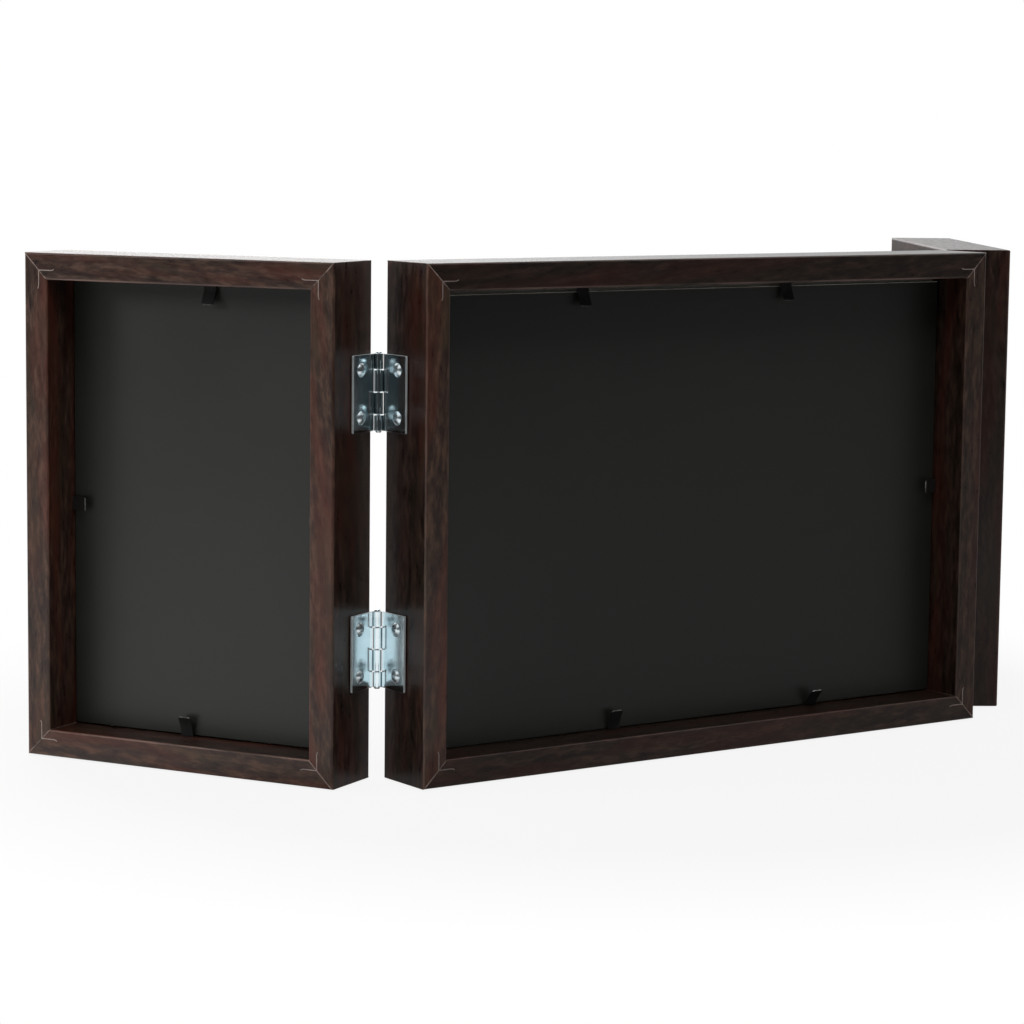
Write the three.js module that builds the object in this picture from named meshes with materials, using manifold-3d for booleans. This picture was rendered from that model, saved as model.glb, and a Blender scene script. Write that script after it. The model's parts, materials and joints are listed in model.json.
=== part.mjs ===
// A trifold photo frame: a wide middle frame with two narrow wings that fold forward over it like doors.
// Millimetres, +Z up. The fronts face -Y, so the rebates are open towards +Y, and right is +X.
// The origin is the middle of the middle frame's bottom face.

import * as THREE from 'three';
import { mergeVertices } from 'three/addons/utils/BufferGeometryUtils.js';
import Module from 'manifold-3d';

const wasm = await Module();
wasm.setup();

// Photos that the three frames take
const photoHeight = 150;
const middlePhotoWidth = 220;
const wingPhotoWidth = 100;
const photoClearance = 0.5; // from the photo's edge to the rebate wall

// Moulding
const railWidth = 9; // across the rear face
const mouldingDepth = 24; // from the front face to the rear face
const lipWidth = 5; // how far the front lip covers the picture
const lipDepth = 3.5;
const arrisRadius = 0.8; // eased outer corners of the moulding
const sightBevel = 1.6; // bevel along the front lip's inner edge
const mitreGap = 0.2; // square to the mitre

// What lies in the rebate, from the lip backwards
const restGap = 0.3; // between faces that rest on each other
const glazingThickness = 2;
const photoSpace = 0.9; // room for the photo and its card
const boardThickness = 2.5;
const edgeEase = 0.25; // ground edge of the glazing and cut edge of the board
const middleBoardTrim = 1.2; // the middle board was cut short, so its top edge shows below the rail

// Butt hinges, with their leaves on the sides of the frames
const hingeHeight = 25;
const hingeInset = 30; // from the frame's top or bottom to the hinge's nearer end
const leafReach = 14.8; // from the pin's axis to the leaf's free edge
const leafThickness = 0.8;
const leafCornerRadius = 1;
const knuckleRadius = 1.5;
const endKnuckleLength = 5.2;
const knuckleGap = 0.3; // between neighbouring knuckles
const curlSlit = 0.3; // where the rolled knuckle comes back to its leaf
const notchClearance = 0.35; // from a knuckle to the other leaf's notch
const axisLead = 1.5; // from the front faces forward to the pin's axis
const pinClearance = 0.2;
const pinHeadOverhang = 0.3; // how much wider the peened head is than the bore
const pinHeadHeight = 0.5;
const pinHeadGap = 0.15;

// Raised countersunk cross-head screws, two in each leaf
const screwHeadRadius = 2.25;
const screwHeadRise = 1.5; // how far the dome stands above the leaf
const screwHeadDepth = 1.1;
const screwRimHeight = 0.12;
const screwShankRadius = 1.05;
const screwTipLength = 2.4;
const screwEdge = 4.8; // from the leaf's end to the screw
const screwReach = 10; // from the pin's axis to the screw
const screwCover = 2.2; // wood left between the tip and the rebate
const screwSeatGap = 0.2; // round the head in its countersink
const pilotClearance = 0.25;
const crossSpan = 2.7;
const crossWidth = 0.65;
const crossDepth = 1.2; // from the top of the dome

// Bendable tabs that hold the backing boards
const tabLength = 7;
const tabWidth = 4.6;
const tabThickness = 0.4;
const tabBowRadius = 20;
const tabStand = 0.75; // from the board's rear face to the middle of the tab's root
const tabLiftDegrees = 10;
const raisedTabLiftDegrees = 26; // one tab of the middle frame was bent up further
const middleTabSpacing = 87;
const middleTopTabShift = 5.3; // the tabs are set by hand, so each row is a little off centre
const middleBottomTabShift = -10.1;
const wingTabShift = 4.6;

// How far the wings are folded forward from flat
const rightFoldDegrees = 62;
const leftFoldDegrees = 58;

const openingHeight = photoHeight + 2 * photoClearance;
const frameHeight = openingHeight + 2 * railWidth;
const frameWidth = (photoWidth) => photoWidth + 2 * photoClearance + 2 * railWidth;
const middleWidth = frameWidth(middlePhotoWidth);
const wingWidth = frameWidth(wingPhotoWidth);
const glazingFront = lipDepth + restGap;
const boardFront = glazingFront + glazingThickness + photoSpace;
const boardRear = boardFront + boardThickness;
const sideOffset = knuckleRadius + restGap; // from the pin's axis to a frame's side
const boreRadius = knuckleRadius - leafThickness;
const screwLength = leafThickness + restGap + railWidth - screwCover;
const screwOffsets = [-1, 1].map((end) => end * (hingeHeight / 2 - screwEdge));
const hingeCentres = {
  lower: hingeInset + hingeHeight / 2,
  upper: frameHeight - hingeInset - hingeHeight / 2,
};

// Facets of round stretches; an arc gets twice as many as its steps
const arrisSteps = 2;
const cornerSteps = 1;
const tabSteps = 3;
const knuckleSteps = 10;
const domeSteps = 3;
const roundSides = 16;

const finishes = {
  wood: { color: 0x42322c, roughness: 0.5, metalness: 0 },
  glazing: { color: 0xe4ecea, roughness: 0.05, metalness: 0, transparent: true, opacity: 0.25 },
  board: { color: 0x4a4a48, roughness: 0.9, metalness: 0 },
  zinc: { color: 0xb9c4c6, roughness: 0.35, metalness: 1 },
  blackSteel: { color: 0x1c1c1b, roughness: 0.55, metalness: 0.6 },
};

function namedMesh(name, geometry, finish) {
  const mesh = new THREE.Mesh(geometry, new THREE.MeshStandardMaterial(finishes[finish]));
  mesh.name = name;
  return mesh;
}

// Closed geometry to a solid and back, for joins and cuts
function toSolid(geometry) {
  const bare = geometry.clone();
  bare.deleteAttribute('normal');
  bare.deleteAttribute('uv');
  const merged = mergeVertices(bare);
  const corners = Array.from(merged.index.array);
  const triangles = [];
  for (let i = 0; i < corners.length; i += 3) {
    const [a, b, c] = corners.slice(i, i + 3);
    if (a !== b && b !== c && c !== a) triangles.push(a, b, c);
  }
  return new wasm.Manifold(new wasm.Mesh({
    numProp: 3,
    vertProperties: new Float32Array(merged.attributes.position.array),
    triVerts: new Uint32Array(triangles),
  }));
}

function toGeometry(solid) {
  const mesh = solid.getMesh();
  const geometry = new THREE.BufferGeometry();
  geometry.setAttribute('position', new THREE.BufferAttribute(new Float32Array(mesh.vertProperties), 3));
  geometry.setIndex(new THREE.BufferAttribute(new Uint32Array(mesh.triVerts), 1));
  geometry.computeVertexNormals();
  return geometry;
}

function join(...geometries) {
  return toGeometry(geometries.map(toSolid).reduce((whole, piece) => whole.add(piece)));
}

function cut(geometry, ...tools) {
  return toGeometry(tools.map(toSolid).reduce((rest, tool) => rest.subtract(tool), toSolid(geometry)));
}

function roundedRectangle(left, bottom, right, top, radius) {
  const shape = new THREE.Shape();
  shape.moveTo(left + radius, bottom);
  shape.lineTo(right - radius, bottom);
  shape.absarc(right - radius, bottom + radius, radius, -Math.PI / 2, 0);
  shape.lineTo(right, top - radius);
  shape.absarc(right - radius, top - radius, radius, 0, Math.PI / 2);
  shape.lineTo(left + radius, top);
  shape.absarc(left + radius, top - radius, radius, Math.PI / 2, Math.PI);
  shape.lineTo(left, bottom + radius);
  shape.absarc(left + radius, bottom + radius, radius, Math.PI, Math.PI * 1.5);
  return shape;
}

// Section of the moulding: across is inset from the outside, up is depth from the front face
function mouldingSection() {
  const sight = railWidth + lipWidth;
  const rear = mouldingDepth - arrisRadius;
  const section = new THREE.Shape();
  section.moveTo(arrisRadius, 0);
  section.lineTo(sight - sightBevel, 0);
  section.lineTo(sight, sightBevel);
  section.lineTo(sight, lipDepth);
  section.lineTo(railWidth, lipDepth);
  section.lineTo(railWidth, rear);
  section.absarc(railWidth - arrisRadius, rear, arrisRadius, 0, Math.PI / 2);
  section.lineTo(arrisRadius, mouldingDepth);
  section.absarc(arrisRadius, rear, arrisRadius, Math.PI / 2, Math.PI);
  section.lineTo(0, arrisRadius);
  section.absarc(arrisRadius, arrisRadius, arrisRadius, Math.PI, Math.PI * 1.5);
  return section;
}

// A length of moulding lofted between its two mitres: x runs along it, y is depth and z is inset
function mitredRail(length) {
  const outline = mouldingSection().getPoints(arrisSteps);
  outline.pop(); // the section ends where it began
  const setback = mitreGap / Math.SQRT2;
  const count = outline.length;
  const positions = [];
  for (const { x: inset, y: depth } of outline) positions.push(inset + setback, depth, inset);
  for (const { x: inset, y: depth } of outline) positions.push(length - inset - setback, depth, inset);
  const triangles = [];
  for (const [a, b, c] of THREE.ShapeUtils.triangulateShape(outline, [])) {
    triangles.push(a, b, c, count + a, count + c, count + b);
  }
  for (let i = 0; i < count; i += 1) {
    const next = (i + 1) % count;
    triangles.push(i, count + i, next, next, count + i, count + next);
  }
  const geometry = new THREE.BufferGeometry();
  geometry.setAttribute('position', new THREE.Float32BufferAttribute(positions, 3));
  geometry.setIndex(triangles);
  geometry.computeVertexNormals();
  return geometry;
}

// Blind holes for the hinge screws, from the outer face of a stile
function pilotHoles() {
  const radius = screwShankRadius + pilotClearance;
  const depth = railWidth - screwCover + pilotClearance;
  const holes = [];
  for (const centre of Object.values(hingeCentres)) {
    for (const offset of screwOffsets) {
      const hole = new THREE.CylinderGeometry(radius, radius, 2 * depth, roundSides);
      hole.rotateX(Math.PI / 2);
      hole.translate(centre + offset, screwReach - axisLead, 0);
      holes.push(hole);
    }
  }
  return holes;
}

// A flat pane with eased edges: x and z across it, y through it from the front
function pane(width, height, thickness) {
  const outline = roundedRectangle(0, 0, width - 2 * edgeEase, height - 2 * edgeEase, edgeEase);
  const geometry = new THREE.ExtrudeGeometry(outline, {
    depth: thickness - 2 * edgeEase,
    bevelThickness: edgeEase,
    bevelSize: edgeEase,
    bevelSegments: 1,
    curveSegments: cornerSteps,
  });
  geometry.rotateX(Math.PI / 2);
  geometry.translate(edgeEase, thickness - edgeEase, edgeEase);
  return geometry;
}

// A bowed strip: its root is at the origin, z leads away from the wall and y away from the board
function tabStrip() {
  const span = tabLength / tabBowRadius;
  const outer = tabBowRadius + tabThickness / 2;
  const inner = tabBowRadius - tabThickness / 2;
  const root = -Math.PI / 2;
  const section = new THREE.Shape();
  section.absarc(0, tabBowRadius, outer, root, root + span, false);
  section.absarc(0, tabBowRadius, inner, root + span, root, true);
  const geometry = new THREE.ExtrudeGeometry(section, {
    depth: tabWidth,
    bevelEnabled: false,
    curveSegments: tabSteps,
  });
  geometry.translate(0, 0, -tabWidth / 2);
  geometry.rotateY(-Math.PI / 2);
  return geometry;
}

const tabGeometry = tabStrip();

// One frame with its outer front bottom left corner at the origin: x across, y back, z up
function buildFrame(name, photoWidth, boardHeight, sideNames, hingeSides, tabs) {
  const width = frameWidth(photoWidth);
  const frame = new THREE.Group();
  const sides = {
    bottom: { length: width, turn: 0, corner: [0, 0, 0] },
    right: { length: frameHeight, turn: -Math.PI / 2, corner: [width, 0, 0] },
    top: { length: width, turn: Math.PI, corner: [width, 0, frameHeight] },
    left: { length: frameHeight, turn: Math.PI / 2, corner: [0, 0, frameHeight] },
  };
  for (const [side, { length, turn, corner }] of Object.entries(sides)) {
    const sideGroup = new THREE.Group();
    sideGroup.position.set(...corner);
    sideGroup.rotation.y = turn;
    const plain = mitredRail(length);
    const rail = hingeSides.includes(side) ? cut(plain, ...pilotHoles()) : plain;
    sideGroup.add(namedMesh(`${name}_${sideNames[side]}`, rail, 'wood'));
    for (const [tabName, [shift, lift]] of Object.entries(tabs[side])) {
      const tab = namedMesh(`${name}_${tabName}`, tabGeometry, 'blackSteel');
      tab.position.set(length / 2 + shift, boardRear + tabStand, railWidth + restGap);
      tab.rotation.x = -THREE.MathUtils.degToRad(lift);
      sideGroup.add(tab);
    }
    frame.add(sideGroup);
  }
  const edge = railWidth + photoClearance;
  const glazing = namedMesh(`${name}_glazing`, pane(photoWidth, photoHeight, glazingThickness), 'glazing');
  glazing.position.set(edge, glazingFront, edge);
  const board = namedMesh(`${name}_backing_board`, pane(photoWidth, boardHeight, boardThickness), 'board');
  board.position.set(edge, boardFront, edge);
  frame.add(glazing, board);
  return frame;
}

// Section of a rolled knuckle and the neck that joins it to its leaf, which lies along +Y
function knuckleSection() {
  const neckEnd = knuckleRadius + notchClearance + leafCornerRadius;
  const rollEnd = 2 * Math.PI + Math.acos((curlSlit - boreRadius) / knuckleRadius);
  const section = new THREE.Shape();
  section.moveTo(-knuckleRadius, neckEnd);
  section.lineTo(-knuckleRadius, 0);
  section.absarc(0, 0, knuckleRadius, Math.PI, rollEnd, false);
  section.absarc(0, 0, boreRadius, rollEnd, Math.PI, true);
  section.lineTo(-boreRadius, neckEnd);
  return section;
}

function countersink() {
  const back = leafThickness + restGap / 2;
  const profile = [
    [0, -screwHeadDepth],
    [screwHeadRadius + screwSeatGap, -screwHeadDepth],
    [screwHeadRadius + screwSeatGap, screwRimHeight],
    [screwShankRadius + screwSeatGap, screwHeadDepth],
    [screwShankRadius + screwSeatGap, screwHeadDepth + back],
    [0, screwHeadDepth + back],
  ];
  return new THREE.LatheGeometry(profile.map((point) => new THREE.Vector2(...point)), roundSides);
}

// A hinge leaf about the pin's axis at the origin, with its plate against the frame on the -X side.
// It holds the second and fourth knuckles from the top. Turned half round about Y it is the other leaf.
function hingeLeaf() {
  const notchEdge = knuckleRadius + notchClearance;
  const half = hingeHeight / 2;
  const reach = leafReach - notchEdge;
  const outline = roundedRectangle(0, -half, reach, half, leafCornerRadius);
  const plate = new THREE.ExtrudeGeometry(outline, {
    depth: leafThickness,
    bevelEnabled: false,
    curveSegments: cornerSteps,
  });
  const upright = new THREE.Matrix4().makeBasis(
    new THREE.Vector3(0, 1, 0),
    new THREE.Vector3(0, 0, 1),
    new THREE.Vector3(1, 0, 0),
  );
  plate.applyMatrix4(upright);
  plate.translate(-knuckleRadius, notchEdge, 0);
  const section = knuckleSection();
  const spans = [
    [knuckleGap / 2, half - endKnuckleLength - knuckleGap / 2],
    [-half, endKnuckleLength - half - knuckleGap / 2],
  ];
  const knuckles = spans.map(([from, to]) => {
    const knuckle = new THREE.ExtrudeGeometry(section, {
      depth: to - from,
      bevelEnabled: false,
      curveSegments: knuckleSteps,
    });
    knuckle.translate(0, 0, from);
    return knuckle;
  });
  const holes = screwOffsets.map((offset) => {
    const hole = countersink();
    hole.rotateZ(Math.PI / 2);
    hole.translate(-boreRadius, screwReach, offset);
    return hole;
  });
  return cut(join(plate, ...knuckles), ...holes);
}

function hingePin() {
  const radius = boreRadius - pinClearance;
  const headRadius = boreRadius + pinHeadOverhang;
  const end = hingeHeight / 2 + pinHeadGap;
  const upper = [[radius, end]];
  for (let step = 0; step < domeSteps; step += 1) {
    const rise = (step / domeSteps) * (Math.PI / 2);
    upper.push([headRadius * Math.cos(rise), end + pinHeadHeight * Math.sin(rise)]);
  }
  upper.push([0, end + pinHeadHeight]);
  const lower = upper.map(([across, along]) => [across, -along]).reverse();
  const profile = [...lower, ...upper].map((point) => new THREE.Vector2(...point));
  const geometry = new THREE.LatheGeometry(profile, roundSides);
  geometry.rotateX(Math.PI / 2);
  return geometry;
}

// A screw with the rim of its head in the plane x = 0, its dome on the +X side and its tip on the -X side
function crossHeadScrew() {
  const profile = [];
  for (let step = 0; step < domeSteps; step += 1) {
    const tilt = (step / domeSteps) * (Math.PI / 2);
    profile.push([screwHeadRadius * Math.sin(tilt), -screwHeadRise * Math.cos(tilt)]);
  }
  profile.push(
    [screwHeadRadius, 0],
    [screwHeadRadius, screwRimHeight],
    [screwShankRadius, screwHeadDepth],
    [screwShankRadius, screwLength - screwTipLength],
    [0, screwLength],
  );
  const body = new THREE.LatheGeometry(profile.map((point) => new THREE.Vector2(...point)), roundSides);
  const arms = [[crossSpan, crossWidth], [crossWidth, crossSpan]].map(([across, along]) => {
    const arm = new THREE.BoxGeometry(across, 2 * crossDepth, along);
    arm.translate(0, -screwHeadRise, 0);
    return arm;
  });
  const screw = cut(body, ...arms);
  screw.rotateZ(Math.PI / 2);
  return screw;
}

const leafGeometry = hingeLeaf();
const pinGeometry = hingePin();
const screwGeometry = crossHeadScrew();

// A leaf with its two screws. side is -1 where the frame lies on the -X side of the pin, else 1.
function hingeHalf(name, part, side, height) {
  const half = new THREE.Group();
  half.position.z = height;
  half.rotation.y = side < 0 ? 0 : Math.PI;
  half.add(namedMesh(`${name}_${part}_leaf`, leafGeometry, 'zinc'));
  screwOffsets.forEach((offset, index) => {
    const screw = namedMesh(`${name}_${part}_screw_${index + 1}`, screwGeometry, 'zinc');
    screw.position.set(-boreRadius, screwReach, offset);
    half.add(screw);
  });
  return half;
}

// A wing hung on the middle frame. side is 1 for the right wing and -1 for the left.
function hangWing(model, name, side, foldDegrees, frame) {
  const axis = new THREE.Vector3(side * (middleWidth / 2 + sideOffset), -mouldingDepth / 2 - axisLead, 0);
  const fixed = new THREE.Group();
  const swinging = new THREE.Group();
  fixed.position.copy(axis);
  swinging.position.copy(axis);
  swinging.rotation.z = -side * THREE.MathUtils.degToRad(foldDegrees);
  frame.position.set(side > 0 ? sideOffset : -sideOffset - wingWidth, axisLead, 0);
  swinging.add(frame);
  for (const [level, height] of Object.entries(hingeCentres)) {
    const hinge = `${name}_${level}_hinge`;
    const pin = namedMesh(`${hinge}_pin`, pinGeometry, 'zinc');
    pin.position.z = height;
    fixed.add(pin, hingeHalf(hinge, 'frame', -side, height));
    swinging.add(hingeHalf(hinge, 'wing', side, height));
  }
  model.add(fixed, swinging);
}

const model = new THREE.Group();

const middleTabs = (shift) => [-middleTabSpacing / 2 + shift, middleTabSpacing / 2 + shift];
const [topTabRight, topTabLeft] = middleTabs(-middleTopTabShift);
const [bottomTabLeft, bottomTabRight] = middleTabs(middleBottomTabShift);
const middle = buildFrame(
  'middle',
  middlePhotoWidth,
  photoHeight - middleBoardTrim,
  { bottom: 'bottom_rail', right: 'right_stile', top: 'top_rail', left: 'left_stile' },
  ['left', 'right'],
  {
    bottom: {
      bottom_left_tab: [bottomTabLeft, raisedTabLiftDegrees],
      bottom_right_tab: [bottomTabRight, tabLiftDegrees],
    },
    right: { right_tab: [0, tabLiftDegrees] },
    top: { top_right_tab: [topTabRight, tabLiftDegrees], top_left_tab: [topTabLeft, tabLiftDegrees] },
    left: { left_tab: [0, tabLiftDegrees] },
  },
);
middle.position.set(-middleWidth / 2, -mouldingDepth / 2, 0);
model.add(middle);

const rightWing = buildFrame(
  'right_wing',
  wingPhotoWidth,
  photoHeight,
  { bottom: 'bottom_rail', right: 'free_stile', top: 'top_rail', left: 'hinge_stile' },
  ['left'],
  {
    bottom: { bottom_tab: [wingTabShift, tabLiftDegrees] },
    right: { free_tab: [0, tabLiftDegrees] },
    top: { top_tab: [wingTabShift, tabLiftDegrees] },
    left: { hinge_tab: [0, tabLiftDegrees] },
  },
);
hangWing(model, 'right', 1, rightFoldDegrees, rightWing);

const leftWing = buildFrame(
  'left_wing',
  wingPhotoWidth,
  photoHeight,
  { bottom: 'bottom_rail', right: 'hinge_stile', top: 'top_rail', left: 'free_stile' },
  ['right'],
  {
    bottom: { bottom_tab: [wingTabShift, tabLiftDegrees] },
    right: { hinge_tab: [0, tabLiftDegrees] },
    top: { top_tab: [wingTabShift, tabLiftDegrees] },
    left: { free_tab: [0, tabLiftDegrees] },
  },
);
hangWing(model, 'left', -1, leftFoldDegrees, leftWing);

export default model;
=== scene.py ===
import bpy
import bmesh
import json
import math
from mathutils import Matrix, Vector

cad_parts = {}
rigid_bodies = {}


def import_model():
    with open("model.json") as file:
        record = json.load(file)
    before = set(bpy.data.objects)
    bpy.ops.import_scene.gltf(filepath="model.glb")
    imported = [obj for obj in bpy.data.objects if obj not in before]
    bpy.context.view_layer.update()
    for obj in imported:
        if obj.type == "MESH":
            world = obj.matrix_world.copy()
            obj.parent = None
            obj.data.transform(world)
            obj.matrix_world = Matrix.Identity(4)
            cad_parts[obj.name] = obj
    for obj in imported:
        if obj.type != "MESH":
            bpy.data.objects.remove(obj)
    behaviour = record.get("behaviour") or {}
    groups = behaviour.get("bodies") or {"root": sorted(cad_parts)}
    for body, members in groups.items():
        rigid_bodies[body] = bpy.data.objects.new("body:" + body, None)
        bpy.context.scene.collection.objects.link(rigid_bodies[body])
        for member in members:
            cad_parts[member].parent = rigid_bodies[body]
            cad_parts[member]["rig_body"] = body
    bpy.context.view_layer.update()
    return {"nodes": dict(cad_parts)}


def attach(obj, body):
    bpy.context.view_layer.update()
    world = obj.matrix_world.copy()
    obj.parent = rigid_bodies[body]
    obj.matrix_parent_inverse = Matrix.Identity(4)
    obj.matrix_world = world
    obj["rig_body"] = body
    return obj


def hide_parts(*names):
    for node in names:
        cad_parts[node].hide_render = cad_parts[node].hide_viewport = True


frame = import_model()

# Pieces are modelled in millimetres, each about its own corner or axis, because the mesh tools lose
# track of tenths of a millimetre in metres. placePiece brings them to metres where they belong.
millimetre = 0.001
nearly = 0.01  # how close a corner has to be to count as on a line or plane
mostly = 0.9  # how far along an axis a normal has to point to count as facing that way

# the three frames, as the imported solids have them
trifold = {
    "height": 169.0,
    "middleWidth": 239.0,
    "wingWidth": 119.0,
    "depth": 24.0,
    "rightFold": 62.0,
    "leftFold": 58.0,
    "axisLead": 1.5,  # from the front faces forward to the hinge pins
    "sideOffset": 1.8,  # from the pins to the frames' sides
    "mitre": 45,
}


# helpers for modelling

def pickPiece(piece):
    bpy.ops.object.select_all(action="DESELECT")
    bpy.context.view_layer.objects.active = piece
    piece.select_set(True)


def addBlock(name, low, high):
    low, high = Vector(low), Vector(high)
    bpy.ops.mesh.primitive_cube_add(size=1, location=(low + high) / 2, scale=high - low)
    bpy.ops.object.transform_apply(location=True, rotation=True, scale=True)
    bpy.context.object.name = name
    return bpy.context.object


def addRod(name, radius, low, high, sides):
    bpy.ops.mesh.primitive_cylinder_add(vertices=sides, radius=radius, depth=high - low,
                                        location=(0, 0, (low + high) / 2))
    bpy.ops.object.transform_apply(location=True, rotation=True, scale=True)
    bpy.context.object.name = name
    return bpy.context.object


def startEdit(piece):
    pickPiece(piece)
    bpy.ops.object.mode_set(mode="EDIT")
    bpy.ops.mesh.select_all(action="DESELECT")


def pickAll():
    bpy.ops.mesh.select_all(action="SELECT")


def endEdit():
    pickAll()
    bpy.ops.mesh.normals_make_consistent(inside=False)
    bpy.ops.mesh.select_all(action="DESELECT")
    bpy.ops.object.mode_set(mode="OBJECT")


def startPick(piece, kind):
    bpy.ops.mesh.select_mode(type=kind)
    bpy.ops.mesh.select_all(action="DESELECT")
    return bmesh.from_edit_mesh(piece.data)


def pickFaces(piece, wanted):
    shape = startPick(piece, "FACE")
    for face in shape.faces:
        if wanted(face.calc_center_median(), face.normal):
            face.select_set(True)
    bmesh.update_edit_mesh(piece.data)


def pickEdges(piece, wanted):
    shape = startPick(piece, "EDGE")
    for edge in shape.edges:
        if wanted(edge.verts[0].co, edge.verts[1].co):
            edge.select_set(True)
    bmesh.update_edit_mesh(piece.data)


def pickSharp(piece, degrees):
    startPick(piece, "EDGE")
    bpy.ops.mesh.edges_select_sharp(sharpness=math.radians(degrees))


def pullOut(x, y, z):
    bpy.ops.mesh.extrude_region_move(TRANSFORM_OT_translate={"value": (x, y, z)})


def roundOff(offset, steps=1):
    bpy.ops.mesh.bevel(offset=offset, offset_type="OFFSET", segments=steps, affect="EDGES")


def sliceAt(point, normal, clear=False):  # clear takes away what the normal points at and caps the cut
    pickAll()
    bpy.ops.mesh.bisect(plane_co=point, plane_no=normal, use_fill=clear, clear_outer=clear)


def applyModifier(piece, kind, **settings):
    pickPiece(piece)
    modifier = piece.modifiers.new(kind.lower(), kind)
    for setting, value in settings.items():
        setattr(modifier, setting, value)
    bpy.ops.object.modifier_apply(modifier=modifier.name)


def joinOrCut(piece, other, operation):
    applyModifier(piece, "BOOLEAN", operation=operation, object=other, solver="EXACT")
    bpy.data.objects.remove(other)


def smoothOver(piece, degrees):
    pickPiece(piece)
    bpy.ops.object.shade_smooth_by_angle(angle=math.radians(degrees))
    applyModifier(piece, "WEIGHTED_NORMAL", keep_sharp=True)


def copyPiece(master, name):
    copy = master.copy()
    copy.data = master.data.copy()
    copy.name = name
    bpy.context.scene.collection.objects.link(copy)
    return copy


def placePiece(piece, place, material):
    piece.data.transform(Matrix.Scale(millimetre, 4) @ place)
    piece.data.materials.clear()
    piece.data.materials.append(material)


def standFor(piece, node):
    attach(piece, frame["nodes"][node]["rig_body"])
    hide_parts(node)


def goWith(piece, body):
    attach(piece, body)


# where the frames and their four sides are

frameWidths = {
    "middle": trifold["middleWidth"],
    "right_wing": trifold["wingWidth"],
    "left_wing": trifold["wingWidth"],
}
uprightNames = {
    "middle": {"right": "right", "left": "left"},
    "right_wing": {"right": "free", "left": "hinge"},
    "left_wing": {"right": "hinge", "left": "free"},
}


def turned(degrees, axis):
    return Matrix.Rotation(math.radians(degrees), 4, axis)


def pinAxis(side):  # side is 1 on the right and -1 on the left
    across = trifold["middleWidth"] / 2 + trifold["sideOffset"]
    return Matrix.Translation((side * across, -trifold["depth"] / 2 - trifold["axisLead"], 0))


def wingTurn(side):
    return turned(-trifold["rightFold"] if side > 0 else trifold["leftFold"], "Z")


def framePlace(name):
    if name == "middle":
        return Matrix.Translation((-trifold["middleWidth"] / 2, -trifold["depth"] / 2, 0))
    side = 1 if name == "right_wing" else -1
    offset = trifold["sideOffset"] if side > 0 else -trifold["sideOffset"] - trifold["wingWidth"]
    return pinAxis(side) @ wingTurn(side) @ Matrix.Translation((offset, trifold["axisLead"], 0))


def frameSides():  # frame, side, length and place of each: x along it, y back, z inwards
    height = trifold["height"]
    for name, width in frameWidths.items():
        places = {
            "bottom": (width, Matrix.Identity(4)),
            "right": (height, Matrix.Translation((width, 0, 0)) @ turned(-90, "Y")),
            "top": (width, Matrix.Translation((width, 0, height)) @ turned(180, "Y")),
            "left": (height, Matrix.Translation((0, 0, height)) @ turned(90, "Y")),
        }
        for side, (length, place) in places.items():
            yield name, side, length, framePlace(name) @ place


# helpers for the finishes

noiseSpread = (0.3, 0.7)  # where most of a noise lies


def paint(red, green, blue):  # a colour as a paint chart gives it, 0 to 255
    def straight(value):
        value = value / 255
        return value / 12.92 if value <= 0.04045 else ((value + 0.055) / 1.055) ** 2.4
    return (straight(red), straight(green), straight(blue), 1)


def startMaterial(name):
    material = bpy.data.materials.new(name)
    material.use_nodes = True
    return material, material.node_tree, material.node_tree.nodes["Principled BSDF"]


def fillInputs(tree, node, inputs):  # sockets are linked, plain values are set
    for label, value in inputs.items():
        if isinstance(value, bpy.types.NodeSocket):
            tree.links.new(value, node.inputs[label])
        else:
            node.inputs[label].default_value = value


def addNode(tree, kind, inputs=None, **settings):
    node = tree.nodes.new(kind)
    for setting, value in settings.items():
        setattr(node, setting, value)
    fillInputs(tree, node, inputs or {})
    return node


def addRamp(tree, value, stops):
    ramp = addNode(tree, "ShaderNodeValToRGB", {"Fac": value})
    elements = ramp.color_ramp.elements
    while len(elements) < len(stops):
        elements.new(1)
    for element, (position, colour) in zip(elements, stops):
        element.position = position
        element.color = colour
    return ramp.outputs["Color"]


def addGroup(tree, group, source, inputs):
    return addNode(tree, "ShaderNodeGroup", {"Vector": source, **inputs}, node_tree=group)


def mixColours(tree, factor, first, second, blend="MIX"):
    inputs = {"Factor": factor, "A": first, "B": second}
    return addNode(tree, "ShaderNodeMix", inputs, data_type="RGBA", blend_type=blend).outputs["Result"]


def mixValues(tree, share, first, second):
    inputs = {"Factor": share, "A": first, "B": second}
    return addNode(tree, "ShaderNodeMix", inputs, data_type="FLOAT").outputs["Result"]


def twoValues(tree, operation, first, second):
    return addNode(tree, "ShaderNodeMath", {0: first, 1: second}, operation=operation).outputs["Value"]


def spreadTo(tree, value, results, source=noiseSpread):  # a range of the value brought to another range
    spread = addNode(tree, "ShaderNodeMapRange", {
        "Value": value, "From Min": source[0], "From Max": source[1],
        "To Min": results[0], "To Max": results[1],
    })
    return spread.outputs["Result"]


def addBump(tree, shader, height, relief):
    strength, depth = relief
    bump = addNode(tree, "ShaderNodeBump", {"Height": height, "Strength": strength, "Distance": depth})
    tree.links.new(bump.outputs["Normal"], shader.inputs["Normal"])


# node groups that several finishes share

patterns = {
    "lineRoughness": 0.6,
    "cloudDetail": 3,
    "toothDetail": 5,
    "toothRoughness": 0.7,
    "rubDetail": 4,
    "rubSpread": (0.3, 0.65),  # where a noise turns from whole to rubbed
}


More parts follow.
